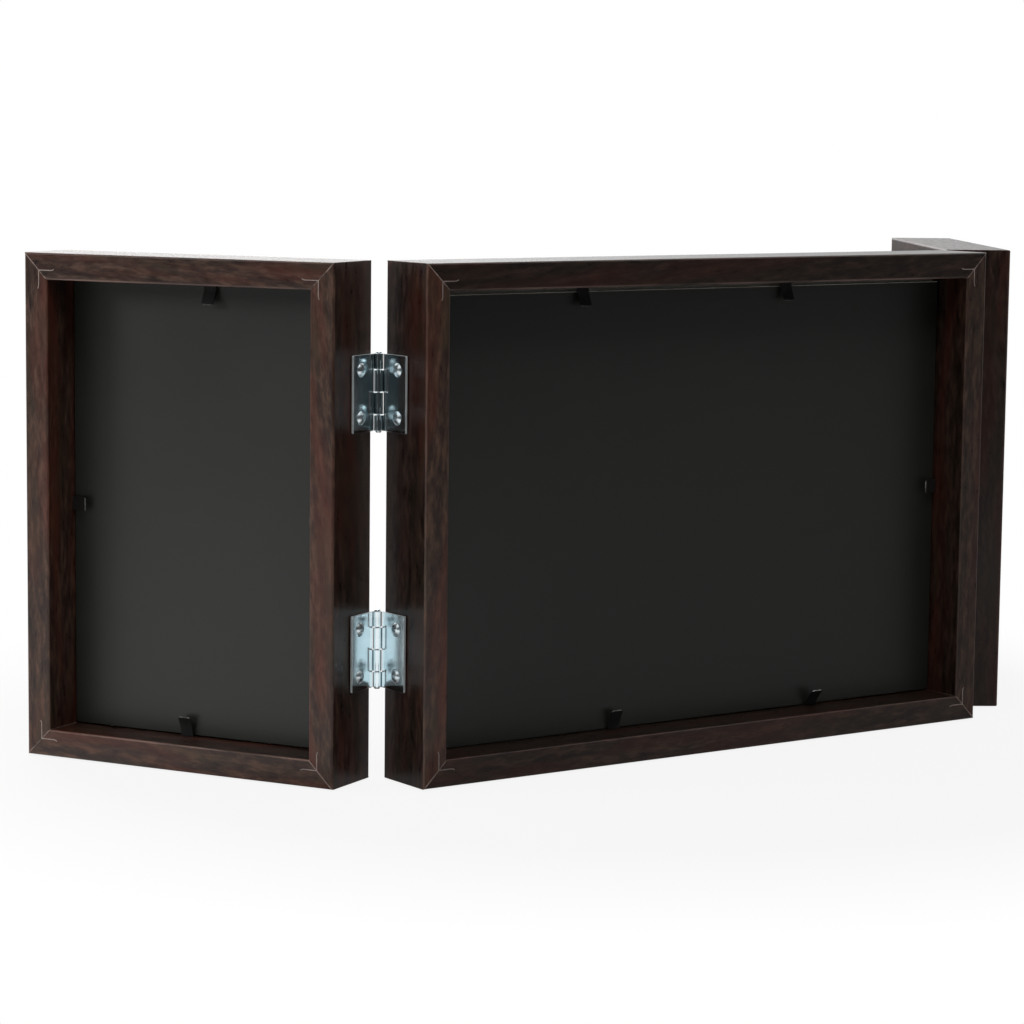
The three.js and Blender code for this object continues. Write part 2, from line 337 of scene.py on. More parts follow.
def startGroup(name, inputs, outputs):
    group = bpy.data.node_groups.new(name, "ShaderNodeTree")
    group.interface.new_socket("Vector", in_out="INPUT", socket_type="NodeSocketVector")
    for label, value in inputs.items():
        kind = "NodeSocketVector" if isinstance(value, tuple) else "NodeSocketFloat"
        group.interface.new_socket(label, in_out="INPUT", socket_type=kind).default_value = value
    for label in outputs:
        group.interface.new_socket(label, in_out="OUTPUT", socket_type="NodeSocketFloat")
    return group, group.nodes.new("NodeGroupInput").outputs, group.nodes.new("NodeGroupOutput")


def makeStreaks():  # lines drawn out along X, soft or broken by the stretch
    group, given, result = startGroup("streaks", {"Stretch": (1, 1, 1), "Detail": 3.0}, ["Lines"])
    drawn = addNode(group, "ShaderNodeMapping", {"Vector": given["Vector"], "Scale": given["Stretch"]})
    noise = addNode(group, "ShaderNodeTexNoise", {
        "Vector": drawn.outputs["Vector"], "Scale": 1,
        "Detail": given["Detail"], "Roughness": patterns["lineRoughness"],
    })
    fillInputs(group, result, {"Lines": noise.outputs["Fac"]})
    return group


def makeMottle():  # soft clouds with a fine tooth over them
    inputs = {"Cloud Scale": 1.0, "Tooth Scale": 10.0, "Tooth Share": 0.3}
    group, given, result = startGroup("mottle", inputs, ["Mask", "Tooth"])
    cloud = addNode(group, "ShaderNodeTexNoise", {
        "Vector": given["Vector"], "Scale": given["Cloud Scale"], "Detail": patterns["cloudDetail"],
    }).outputs["Fac"]
    tooth = addNode(group, "ShaderNodeTexNoise", {
        "Vector": given["Vector"], "Scale": given["Tooth Scale"],
        "Detail": patterns["toothDetail"], "Roughness": patterns["toothRoughness"],
    }).outputs["Fac"]
    mask = mixValues(group, given["Tooth Share"], cloud, tooth)
    fillInputs(group, result, {"Mask": mask, "Tooth": tooth})
    return group


def makeRubbing():  # rubbed edges: the painted wear of a piece, broken up by noise
    inputs = {"Wear": 0.0, "Patch Scale": 1.0, "Amount": 0.6}
    group, given, result = startGroup("rubbedEdges", inputs, ["Mask"])
    noise = addNode(group, "ShaderNodeTexNoise", {
        "Vector": given["Vector"], "Scale": given["Patch Scale"], "Detail": patterns["rubDetail"],
    })
    broken = spreadTo(group, noise.outputs["Fac"], (0, 1), patterns["rubSpread"])
    worn = twoValues(group, "MULTIPLY", broken, given["Wear"])
    scaled = addNode(group, "ShaderNodeMath", {0: worn, 1: given["Amount"]},
                     operation="MULTIPLY", use_clamp=True)
    fillInputs(group, result, {"Mask": scaled.outputs["Value"]})
    return group


streaks = makeStreaks()
mottle = makeMottle()
rubbedEdges = makeRubbing()


# finishes

stain = {
    "tones": ((0.34, paint(28, 17, 13)), (0.5, paint(52, 36, 29)), (0.66, paint(80, 58, 47))),
    "red": paint(80, 36, 25),
    "olive": paint(54, 44, 31),
    "pore": paint(18, 12, 10),
    # the rubbed stain at the arrises, pale enough to be a painted highlight too
    "rubbed": paint(152, 124, 114),
    "lines": {  # marks to a mm along, back and across the grain, and the detail in them
        "sway": ((0.022, 0.03, 0.03), 1),
        "fleck": ((0.15, 0.6, 0.6), 3),
        "fibre": ((0.06, 3.4, 3.4), 3),
        "pore": ((0.16, 4.6, 4.6), 1),
        "patch": ((0.014, 0.11, 0.11), 2),
        "cloud": ((0.03, 0.16, 0.16), 1),
    },
    "wander": 0.8,  # mm that the grain strays to each side
    "ringSpacing": 4.2,  # mm between growth rings
    "ringDraw": (0.035, 1, 1),  # they are drawn out along the grain
    "ringDistortion": 4,
    "ringDetail": 3,
    "fibreShare": 0.14,
    "ringShare": 0.08,
    "redShare": ((0, 0.6), (0.44, 0.68)),  # shares of a tone, and where in the noise they are reached
    "oliveShare": ((0, 0.5), (0.5, 0.7)),
    "poreShare": ((0.6, 0), (0.28, 0.38)),
    "poreHeight": ((0, 1), (0.28, 0.38)),
    "poreRelief": 0.4,
    "relief": (0.3, 0.0001),
    "rub": {"Patch Scale": 0.4, "Amount": 0.8},
    "roughness": (0.27, 0.4),
    "specular": 0.31,
    "coat": 0.07,
    "coatRoughness": 0.2,
}
waveRate = 20  # radians that a wave texture turns through in one unit


def makeStainedWood():
    material, tree, shader = startMaterial("stainedWood")
    grain = addNode(tree, "ShaderNodeAttribute", attribute_name="grain").outputs["Vector"]
    wear = addNode(tree, "ShaderNodeAttribute", attribute_name="wear").outputs["Fac"]
    toneAndPaintedLight = addNode(tree, "ShaderNodeAttribute", attribute_name="toneAndPaintedLight").outputs["Color"]

    def drawLines(source, mark):
        stretch, detail = stain["lines"][mark]
        return addGroup(tree, streaks, source, {"Stretch": stretch, "Detail": detail}).outputs["Lines"]

    aside = spreadTo(tree, drawLines(grain, "sway"), (-stain["wander"], stain["wander"]))
    shift = addNode(tree, "ShaderNodeCombineXYZ", {"Y": aside, "Z": aside}).outputs["Vector"]
    strand = addNode(tree, "ShaderNodeVectorMath", {0: grain, 1: shift}, operation="ADD").outputs["Vector"]
    flecks, fibres, pores = (drawLines(strand, mark) for mark in ("fleck", "fibre", "pore"))
    along = addNode(tree, "ShaderNodeMapping", {"Vector": strand, "Scale": stain["ringDraw"]})
    drawn = along.outputs["Vector"]
    rings = addNode(tree, "ShaderNodeTexWave", {
        "Vector": drawn, "Scale": 2 * math.pi / (waveRate * stain["ringSpacing"]),
        "Distortion": stain["ringDistortion"], "Detail": stain["ringDetail"],
    }, wave_type="RINGS", rings_direction="X")
    figure = mixValues(tree, stain["fibreShare"], flecks, fibres)
    figure = mixValues(tree, stain["ringShare"], figure, rings.outputs["Fac"])
    tone = addRamp(tree, figure, stain["tones"])
    patches = spreadTo(tree, drawLines(strand, "patch"), *stain["redShare"])
    tone = mixColours(tree, patches, tone, stain["red"])
    clouds = spreadTo(tree, drawLines(strand, "cloud"), *stain["oliveShare"])
    tone = mixColours(tree, clouds, tone, stain["olive"])
    tone = mixColours(tree, spreadTo(tree, pores, *stain["poreShare"]), tone, stain["pore"])
    # each rail's tone and its painted light and shade multiply the stain
    tone = mixColours(tree, 1, tone, toneAndPaintedLight, blend="MULTIPLY")
    # rubbed stain at the arrises, also painting their highlight
    rubbed = addGroup(tree, rubbedEdges, drawn, {"Wear": wear, **stain["rub"]}).outputs["Mask"]
    fillInputs(tree, shader, {
        "Base Color": mixColours(tree, rubbed, tone, stain["rubbed"]),
        "Roughness": spreadTo(tree, flecks, stain["roughness"]),
        "Specular IOR Level": stain["specular"],
        "Coat Weight": stain["coat"],
        "Coat Roughness": stain["coatRoughness"],
    })
    height = mixValues(tree, stain["poreRelief"], fibres, spreadTo(tree, pores, *stain["poreHeight"]))
    addBump(tree, shader, height, stain["relief"])
    return material


def addMottle(tree, place, clouds, teeth, toothShare):  # clouds and teeth to a metre
    inputs = {"Cloud Scale": clouds, "Tooth Scale": teeth, "Tooth Share": toothShare}
    return addGroup(tree, mottle, place, inputs).outputs


def startMottled(name, finish):  # two tones in soft clouds, which change the roughness too
    material, tree, shader = startMaterial(name)
    place = addNode(tree, "ShaderNodeTexCoord").outputs["Object"]
    clouds = addMottle(tree, place, *finish["mottle"])
    share = spreadTo(tree, clouds["Mask"], (0, 1), finish.get("spread", noiseSpread))
    tone = mixColours(tree, share, *finish["tones"])
    fillInputs(tree, shader, {
        "Base Color": tone,
        "Roughness": spreadTo(tree, clouds["Mask"], finish["roughness"]),
        "Metallic": finish.get("metal", 0),
    })
    if "relief" in finish:
        addBump(tree, shader, clouds["Tooth"], finish["relief"])
    return material, tree, shader, place, tone


def makeMottled(name, finish):
    return startMottled(name, finish)[0]


facing = {  # the dark paper on the backing boards
    "tones": (paint(29, 30, 27), paint(36, 37, 33)),
    "mottle": (28, 1500, 0.45),
    "roughness": (0.36, 0.48),
    "relief": (0.2, 0.00005),
    "rub": paint(46, 47, 42),
    "rubLines": {"Stretch": (60, 60, 240), "Detail": 4},
    "rubShare": ((0, 0.3), (0.6, 0.8)),
    "specular": 0.47,
}


def makeBoardFacing():
    material, tree, shader, place, tone = startMottled("boardFacing", facing)
    lines = addGroup(tree, streaks, place, facing["rubLines"]).outputs["Lines"]
    rubbed = spreadTo(tree, lines, *facing["rubShare"])
    fillInputs(tree, shader, {
        "Base Color": mixColours(tree, rubbed, tone, facing["rub"]),
        "Specular IOR Level": facing["specular"],
    })
    return material


core = {  # the pale pulp that shows at the boards' cut edges, brightened to stand also for a painted highlight along the top edge
    "tones": (paint(200, 190, 174), paint(244, 239, 230)),
    "mottle": (160, 2600, 0.6),
    "roughness": (0.8, 0.95),
    "relief": (0.4, 0.0001),
}
plating = {  # bright zinc plate with faint rolling lines
    "tones": (paint(220, 234, 239), paint(236, 246, 249)),
    "mottle": (130, 1400, 0.25),
    "metal": 1,
    "lines": {"Stretch": (90, 2600, 2600), "Detail": 2},
    "lineTurn": (0, math.radians(90), 0),  # they run upright
    "hingeZinc": {"roughness": (0.08, 0.15), "lineRelief": (0.12, 0.00003)},
    "screwZinc": {"roughness": (0.26, 0.4), "lineRelief": (0.05, 0.00003)},
}


def makeZinc(name):
    finish = {**plating, **plating[name]}
    material, tree, shader, place = startMottled(name, finish)[:4]
    upright = addNode(tree, "ShaderNodeMapping", {"Vector": place, "Rotation": finish["lineTurn"]})
    lines = addGroup(tree, streaks, upright.outputs["Vector"], finish["lines"])
    addBump(tree, shader, lines.outputs["Lines"], finish["lineRelief"])
    return material


shearingAndHighlight = {  # the leaves' cut edges, too rough to mirror anything, and made pale as a painted highlight along them
    "tones": (paint(190, 198, 200), paint(226, 231, 232)),
    "mottle": (500, 3000, 0.5),
    "roughness": (0.5, 0.65),
    "relief": (0.3, 0.00004),
    "metal": 0.3,
}
blacking = {  # blackened spring steel, bare where it was sheared
    "tones": (paint(20, 20, 20), paint(38, 38, 37)),
    "mottle": (300, 3000, 0.4),
    "roughness": (0.36, 0.55),
    "relief": (0.2, 0.00004),
    "bare": paint(150, 150, 146),
    "rub": {"Patch Scale": 900, "Amount": 0.9},
}


def makeBlackSteel():
    material, tree, shader, place, tone = startMottled("blackSteel", blacking)
    wear = addNode(tree, "ShaderNodeAttribute", attribute_name="wear").outputs["Fac"]
    rubbed = addGroup(tree, rubbedEdges, place, {"Wear": wear, **blacking["rub"]}).outputs["Mask"]
    fillInputs(tree, shader, {
        "Base Color": mixColours(tree, rubbed, tone, blacking["bare"]),
        "Metallic": rubbed,
    })
    return material


nailSteel = {
    "tones": (paint(112, 98, 92), paint(184, 168, 160)),
    "mottle": (420, 2500, 0.4),
    "roughness": (0.4, 0.6),
    "metal": 0.3,
}
glue = {  # stained here and there, bare in between
    "tones": (paint(66, 48, 42), paint(176, 154, 143)),
    "spread": (0.38, 0.64),
    "mottle": (350, 2200, 0.4),
    "roughness": (0.45, 0.7),
    "relief": (0.3, 0.00008),
}
card = {
    "tones": (paint(233, 229, 220), paint(246, 243, 236)),
    "mottle": (60, 1800, 0.5),
    "roughness": (0.7, 0.85),
    "relief": (0.2, 0.00005),
}
glass = {
    "tint": paint(252, 254, 253),
    "smears": (14, 90, 0.4),
    "smearRoughness": ((0, 0.05), (0.45, 0.8)),
    "bending": 1.5,  # index of refraction
}


def makeGlass():
    material, tree, shader = startMaterial("clearGlass")
    place = addNode(tree, "ShaderNodeTexCoord").outputs["Object"]
    smears = addMottle(tree, place, *glass["smears"])["Mask"]
    fillInputs(tree, shader, {
        "Base Color": glass["tint"],
        "Transmission Weight": 1,
        "IOR": glass["bending"],
        "Roughness": spreadTo(tree, smears, *glass["smearRoughness"]),
    })
    return material


finishes = {
    "wood": makeStainedWood(),
    "boardFacing": makeBoardFacing(),
    "boardCore": makeMottled("boardCore", core),
    "hingeZinc": makeZinc("hingeZinc"),
    "screwZinc": makeZinc("screwZinc"),
    "shearedEdgeAndHighlight": makeMottled("shearedEdgeAndHighlight", shearingAndHighlight),
    "blackSteel": makeBlackSteel(),
    "nailSteel": makeMottled("nailSteel", nailSteel),
    "glue": makeMottled("glueLine", glue),
    "glass": makeGlass(),
    "card": makeMottled("plainCard", card),
}
print("finishes made:", len(finishes))


# rails and stiles

rail = {
    "face": 9.0,  # across the rear
    "lip": 5.0,  # how far the front lip covers the picture
    "lipDepth": 3.5,
    "flatDegrees": 1,  # faces that meet at less than this are made one
    "arris": 0.8,
    "arrisSteps": 6,
    "sightBevel": 1.6,
    "sightEase": 0.3,
    "easeSteps": 2,
    "mitreGap": 0.2,
    "smoothDegrees": 32,
    "innerRubAndHighlight": {  # rubbed stain along the rear arrises; where it is strongest, on the top rails and the right wing's bottom rail, it is also a painted highlight
        "middle": {"bottom": 0.15, "top": 1.4, "left": 0.15, "right": 0.15},
        "right_wing": {"bottom": 1.2, "top": 1.4, "left": 0.2, "right": 0.15},
        "left_wing": {"bottom": 0.4, "top": 1.4, "left": 0.15, "right": 0.15},
    },
    # rubbed stain on the outer rear arrises; on the right-hand stiles it is also a painted sheen
    "outerRubAndHighlight": {"bottom": 0.15, "top": 0.15, "left": 0.1, "right": 0.55},
    "frontRub": 0.3,
    "sightRub": 0.2,
    "toneAndPaintedLight": {  # light and dark lengths of wood, with painted light and shade: the right wing and the stiles lightened, the top rails darkened, for how light falls on them
        "middle": {"bottom": 0.85, "top": 0.58, "left": 1.12, "right": 1.6},
        "right_wing": {"bottom": 1.55, "top": 1.35, "left": 1.7, "right": 1.66},
        "left_wing": {"bottom": 0.8, "top": 0.7, "left": 1.1, "right": 1.2},
    },
    "outerPaintedShade": 0.5,  # painted shade: the outer sides are darkened where shade falls between the frames, and so are the rebates
    # painted shade on the rebate walls, darkest on the bottom one
    "rebatePaintedShade": {"bottom": 0.5, "top": 0.7, "left": 0.7, "right": 0.7},
    "grainSlopes": (5, -3, 4, -6, 2),  # degrees off the rail's length, taken in turn
    "grainStep": (431.0, 57.0, 83.0),  # how far apart in the log neighbouring rails were cut
}


def onLine(a, b, y, z):
    return all(abs(corner.y - y) < nearly and abs(corner.z - z) < nearly for corner in (a, b))


def easeLines(bar, lines, offset, steps=1):
    pickEdges(bar, lambda a, b: any(onLine(a, b, y, z) for y, z in lines))
    roundOff(offset, steps)


def mouldingBar(name, start, end):  # x along, y back from the front face, z in from the outside
    depth, face, lip, bevel = trifold["depth"], rail["face"], rail["lip"], rail["sightBevel"]
    sight = face + lip
    bar = addBlock(name, (start, 0, 0), (end, depth, face))
    startEdit(bar)
    sliceAt((0, rail["lipDepth"], 0), (0, 1, 0))
    pickFaces(bar, lambda centre, normal: normal.z > mostly and centre.y < rail["lipDepth"])
    pullOut(0, 0, lip)
    pickAll()
    bpy.ops.mesh.dissolve_limited(angle_limit=math.radians(rail["flatDegrees"]))
    easeLines(bar, ((0, 0), (depth, 0), (depth, face)), rail["arris"], rail["arrisSteps"])
    easeLines(bar, ((0, sight),), bevel)
    eased = ((0, sight - bevel), (bevel, sight), (rail["lipDepth"], sight))
    easeLines(bar, eased, rail["sightEase"], rail["easeSteps"])
    return bar


def mitredRail(length):
    setback = rail["mitreGap"] / math.sqrt(2)
    piece = mouldingBar(f"rail{length:.0f}", 0, length)
    sliceAt((setback, 0, 0), (-1, 0, 1), clear=True)
    sliceAt((length - setback, 0, 0), (1, 0, 1), clear=True)
    endEdit()
    smoothOver(piece, rail["smoothDegrees"])
    return piece


def edgeWear(point, y, z):  # 1 along the middle of the arris at y and z, falling to 0 at its sides
    away = math.hypot(point.y - y, point.z - z) / rail["arris"]
    return max(0.0, (1 - away) / (2 - math.sqrt(2))) ** 2


def railWearAndHighlight(point, name, side):  # how much a point of the moulding gets rubbed, which along the rear arrises also paints a highlight
    depth, face, bevel = trifold["depth"], rail["face"], rail["sightBevel"]
    arrises = (
        (rail["innerRubAndHighlight"][name][side], depth, face),
        (rail["outerRubAndHighlight"][side], depth, 0),
        (rail["frontRub"], 0, 0),
        (rail["sightRub"], bevel / 2, face + rail["lip"] - bevel / 2),
    )
    return max(amount * edgeWear(point, y, z) for amount, y, z in arrises)


# a point's multiplier: the rail's tone and painted light, with painted shade on the outer sides and rebate
# walls
def railToneAndPaintedLight(point, name, side):
    toneAndPaintedLight = rail["toneAndPaintedLight"][name][side]
    if point.z < nearly:
        return toneAndPaintedLight * rail["outerPaintedShade"]
    inRebate = abs(point.z - rail["face"]) < nearly and point.y < trifold["depth"] - nearly
    return toneAndPaintedLight * rail["rebatePaintedShade"][side] if inRebate else toneAndPaintedLight


def markGrain(piece, number, name, side):
    for label, kind in (("grain", "FLOAT_VECTOR"), ("wear", "FLOAT"), ("toneAndPaintedLight", "FLOAT")):
        piece.data.attributes.new(label, kind, "POINT")
    marks = piece.data.attributes
    cut = Matrix.Translation(Vector(rail["grainStep"]) * number)
    sawn = cut @ turned(rail["grainSlopes"][number % len(rail["grainSlopes"])], "Y")
    for vertex in piece.data.vertices:
        marks["grain"].data[vertex.index].vector = sawn @ vertex.co
        marks["wear"].data[vertex.index].value = railWearAndHighlight(vertex.co, name, side)
        marks["toneAndPaintedLight"].data[vertex.index].value = railToneAndPaintedLight(vertex.co, name, side)


def railNode(name, side):
    upright = uprightNames[name].get(side)
    return f"{name}_{upright}_stile" if upright else f"{name}_{side}_rail"


railMasters = {}
railCount = 0
for name, side, length, place in frameSides():
    if length not in railMasters:
        railMasters[length] = mitredRail(length)
    node = railNode(name, side)
    piece = copyPiece(railMasters[length], f"{node}_finished")
    railCount += 1
    markGrain(piece, railCount, name, side)
    placePiece(piece, place, finishes["wood"])
    standFor(piece, node)
for master in railMasters.values():
    bpy.data.objects.remove(master)
print("rails and stiles:", railCount)


# glue lines in the mitres, wider where they were squeezed out at the rear

glueLine = {
    "width": 0.2,
    "bead": 0.34,  # across the line on the rear face
    "proud": 0.03,
    "run": 24.0,  # of moulding that the sheet is cut from, each way
}


def mitreSheet():  # turned so that x runs along the mitre, with z across it
    half = glueLine["width"] / 2 * math.sqrt(2)
    sheet = mouldingBar("mitreSheet", -glueLine["run"], glueLine["run"])
    sliceAt((half, 0, 0), (1, 0, -1), clear=True)
    sliceAt((-half, 0, 0), (-1, 0, 1), clear=True)
    sliceAt((0, 0, 0), (-1, 0, 0), clear=True)
    endEdit()
    sheet.data.transform(turned(trifold["mitre"], "Y"))
    startEdit(sheet)
    pickFaces(sheet, lambda centre, normal: normal.y > mostly)
    pullOut(0, 0, 0)
    bpy.ops.transform.resize(value=(1, 1, glueLine["bead"] / glueLine["width"]))
    pullOut(0, glueLine["proud"], 0)
    endEdit()
    return sheet


sheetMaster = mitreSheet()
for name, side, length, place in frameSides():
    piece = copyPiece(sheetMaster, f"{name}_{side}_mitre_glue")
    placePiece(piece, place @ turned(-trifold["mitre"], "Y"), finishes["glue"])
    goWith(piece, name)
bpy.data.objects.remove(sheetMaster)


# V-nails across the mitres

vNail = {
    "inset": 5.8,  # from the outer sides to the bend
    "leg": 5.0,
    "flare": 1.2,
    "flareDegrees": 26,
    "thickness": 0.32,
    "depth": 7.0,
    "proud": 0.06,
    "weld": 0.001,  # corners closer than this are made one
}


def bentNail():  # x runs from the bend into the frame along the mitre, y back
    half = vNail["thickness"] / 2
    rear = trifold["depth"] + vNail["proud"]
    nail = addBlock("nail", (-2 * half, rear - vNail["depth"], -half), (vNail["leg"], rear, half))
    startEdit(nail)
    pickFaces(nail, lambda centre, normal: normal.x > mostly)
    step = vNail["flare"] / 2
    for share in (0.5, 1):
        lean = math.radians(vNail["flareDegrees"]) * share
        pullOut(step * math.cos(lean), 0, step * math.sin(lean))
    endEdit()
    nail.data.transform(turned(-trifold["mitre"], "Y"))
    startEdit(nail)
    sliceAt((0, 0, 0), (0, 0, -1), clear=True)
    pickFaces(nail, lambda centre, normal: normal.z < -mostly and abs(centre.z) < nearly)
    bpy.ops.mesh.delete(type="FACE")
    bpy.ops.object.mode_set(mode="OBJECT")
    applyModifier(nail, "MIRROR", use_axis=(False, False, True), merge_threshold=nearly)
    startEdit(nail)
    pickAll()
    bpy.ops.mesh.remove_doubles(threshold=vNail["weld"])
    endEdit()
    return nail


nailMaster = bentNail()
bend = Matrix.Translation((vNail["inset"], 0, vNail["inset"])) @ turned(-trifold["mitre"], "Y")
for name, side, length, place in frameSides():
    piece = copyPiece(nailMaster, f"{name}_{side}_v_nail")
    placePiece(piece, place @ bend, finishes["nailSteel"])
    goWith(piece, name)
bpy.data.objects.remove(nailMaster)
print("mitre glue lines and V-nails:", 2 * railCount)


# backing boards and the plain cards in front of them

filling = {
    "clearance": 0.5,  # from the rebate wall
    "boardFront": 6.7,  # from the front face
    "boardThickness": 2.5,
    "boardEdge": 0.25,
    "middleTrim": 1.2,  # the middle board was cut short
    "middleTilt": 0.1,  # degrees that it lies askew
    "cutLean": 0.1,  # a face that leans back less than this is a cut edge
    "upHighlightLean": 0.2,  # and a face that leans up more than this takes the pale core too, as a painted highlight along the top edge
    "cardFront": 6.0,
    "cardThickness": 0.3,
    "cardEdge": 0.075,
    "cardBow": 0.2,
    "cardCuts": 5,
    "edgeSteps": 2,
    "smoothDegrees": 30,
}
fillingInset = rail["face"] + filling["clearance"]


def fillingSize(width):
    return width - 2 * fillingInset, trifold["height"] - 2 * fillingInset


def easedSheet(name, size, edge):
    sheet = addBlock(name, (0, 0, 0), size)
    startEdit(sheet)
    pickAll()
    roundOff(edge, filling["edgeSteps"])
    return sheet


def backingBoard(name, width, trim):
    across, up = fillingSize(width)
    board = easedSheet(name, (across, filling["boardThickness"], up - trim), filling["boardEdge"])
    endEdit()
    smoothOver(board, filling["smoothDegrees"])
    return board


def plainCard(name, width):
    across, up = fillingSize(width)
    piece = easedSheet(name, (across, filling["cardThickness"], up), filling["cardEdge"])
    for step in range(1, filling["cardCuts"]):
        sliceAt((across * step / filling["cardCuts"], 0, 0), (1, 0, 0))
        sliceAt((0, 0, up * step / filling["cardCuts"]), (0, 0, 1))
    bpy.ops.object.mode_set(mode="OBJECT")
    for vertex in piece.data.vertices:  # it bows back a little between its ends
        vertex.co.y += filling["cardBow"] * math.sin(math.pi * vertex.co.z / up)
    smoothOver(piece, filling["smoothDegrees"])
    return piece


def showCore(board, back):  # the cut edges get the pale core as their second finish, and so do the up-facing eased faces, as a painted highlight
    board.data.materials.append(finishes["boardCore"])
    for face in board.data.polygons:
        cutEdgeOrHighlight = abs(face.normal.dot(back)) < filling["cutLean"] or face.normal.z > filling["upHighlightLean"]
        face.material_index = 1 if cutEdgeOrHighlight else 0


for name, width in frameWidths.items():
    place = framePlace(name)
    node = f"{name}_backing_board"
    trim, tilt = (filling["middleTrim"], filling["middleTilt"]) if name == "middle" else (0, 0)
    board = backingBoard(f"{node}_finished", width, trim)
    corner = Matrix.Translation((fillingInset, filling["boardFront"], fillingInset))
    placePiece(board, place @ corner @ turned(tilt, "Y"), finishes["boardFacing"])
    showCore(board, place.to_3x3() @ Vector((0, 1, 0)))
    standFor(board, node)
    insert = plainCard(f"{name}_insert_card", width)
    corner = Matrix.Translation((fillingInset, filling["cardFront"], fillingInset))
    placePiece(insert, place @ corner, finishes["card"])
    goWith(insert, name)
    glazing = frame["nodes"][f"{name}_glazing"]
    glazing.data.materials.clear()
    glazing.data.materials.append(finishes["glass"])
print("boards, cards and glazing:", len(frameWidths))


# bendable tabs over the boards

tab = {
    "length": 7.0,
    "width": 4.6,
    "thickness": 0.4,
    "bowRadius": 20.0,
    "stand": 0.75,  # from the board's rear face to the middle of its root
    "gap": 0.3,  # from the rebate wall
    "lift": 10.0,
    "raisedLift": 26.0,  # of the one that was bent up further
    "steps": 10,
    "tipRadius": 1.1,
    "tipSteps": 5,
    "burr": 0.06,
    "burrSteps": 2,
    "burrDegrees": 50,
    "bareTip": 0.24,  # the length where the shears left bare steel
    "smoothDegrees": 40,
    "spacing": 87.0,  # of the two on a long rail
    "shifts": {"bottom": -10.1, "top": -5.3},  # of the pair from the rail's middle
    "wingShift": 4.6,
}


def bowedTab():  # root at the origin, z away from the wall, y away from the board
    half, side = tab["thickness"] / 2, tab["width"] / 2
    strip = addBlock("tabStrip", (-side, -half, -half), (side, half, 0))
    startEdit(strip)
    pickFaces(strip, lambda centre, normal: normal.z > mostly)
    bow = tab["length"] / tab["bowRadius"]
    bpy.ops.mesh.spin(steps=tab["steps"], angle=bow, center=(0, tab["bowRadius"], 0), axis=(1, 0, 0))
    tipHeight = tab["bowRadius"] * math.sin(bow)

    def tipCorner(a, b):  # the short edges through the thickness at the tip's two sides
        onSide = abs(a.x - b.x) < nearly and abs(a.x) > side - nearly
        atTip = max(a.z, b.z) > tipHeight - nearly
        return onSide and atTip and (a - b).length < tab["thickness"] + nearly

    pickEdges(strip, tipCorner)
    roundOff(tab["tipRadius"], tab["tipSteps"])
    endEdit()
    applyModifier(strip, "BEVEL", width=tab["burr"], segments=tab["burrSteps"], limit_method="ANGLE",
                  angle_limit=math.radians(tab["burrDegrees"]))
    smoothOver(strip, tab["smoothDegrees"])
    wear = strip.data.attributes.new("wear", "FLOAT", "POINT")
    for vertex in strip.data.vertices:
        wear.data[vertex.index].value = 1 if vertex.co.z > tipHeight - tab["bareTip"] else 0
    return strip


def tabsOn(name, side):  # each tab's name and its shift from the middle of the side
    upright = uprightNames[name].get(side)
    if upright:
        return {f"{name}_{upright}_tab": 0}
    if name != "middle":
        return {f"{name}_{side}_tab": tab["wingShift"]}
    first, second = ("left", "right") if side == "bottom" else ("right", "left")
    shift, half = tab["shifts"][side], tab["spacing"] / 2
    return {f"{name}_{side}_{first}_tab": shift - half, f"{name}_{side}_{second}_tab": shift + half}


tabMaster = bowedTab()
tabCount = 0
tabLevel = filling["boardFront"] + filling["boardThickness"] + tab["stand"]
for name, side, length, place in frameSides():
    for node, shift in tabsOn(name, side).items():
        piece = copyPiece(tabMaster, f"{node}_finished")
        root = Matrix.Translation((length / 2 + shift, tabLevel, rail["face"] + tab["gap"]))
        lift = tab["raisedLift"] if node == "middle_bottom_left_tab" else tab["lift"]
        placePiece(piece, place @ root @ turned(-lift, "X"), finishes["blackSteel"])
        standFor(piece, node)
        tabCount += 1
bpy.data.objects.remove(tabMaster)
print("tabs:", tabCount)


# butt hinges

hinge = {
    "height": 25.0,
    "inset": 30.0,  # from the frames' top or bottom
    "reach": 14.8,  # from the pin's axis to the leaf's free edge
    "thickness": 0.8,
    "corner": 0.4,
    "cornerSteps": 6,
    "knuckle": 1.5,
    "endKnuckle": 5.2,
    "knuckleGap": 0.3,
    "slit": 0.3,
    "notch": 0.35,
    "rollSteps": 30,
    "edge": 0.1,
    "edgeSteps": 2,
    "edgeDegrees": 50,
    "smoothDegrees": 35,
    "shearedLean": 0.5,  # a sheared face leans to the leaf's front or back less than this
    "pinClearance": 0.2,
    "pinHead": 0.5,
    "pinRound": 0.42,
    "pinRoundSteps": 5,
    "pinHeadOverhang": 0.3,
    "pinHeadGap": 0.15,
    "pinSides": 32,
}
screw = {
    "head": 2.25,
    "rim": 0.12,
    "headDepth": 1.1,
    "dome": 1.2,
    "domeSteps": 7,
    "shank": 1.05,
    "length": 7.9,
    "tip": 2.4,
    "fromEnd": 4.8,
    "reach": 10.0,
    "seat": 0.2,
    "crossSpan": 3.2,
    "crossWidth": 0.85,
    "crossDepth": 1.1,  # from the top of the dome
    "crossTaper": 0.5,
    "point": 0.06,  # share of the shank left at the tip
    "sides": 40,
    "smoothDegrees": 35,
    "turns": (12, 57, 33, 80, 5, 68, 41, 22),
}


def resizeAcross(share):
    bpy.ops.transform.resize(value=(share, share, 1))


def screwSeat(end):  # on the leaf's face near its upper or lower end, with z out of the face
    level = end * (hinge["height"] / 2 - screw["fromEnd"])
    face = Matrix.Translation((hinge["thickness"] - hinge["knuckle"], screw["reach"], level))
    return face @ turned(90, "Y")


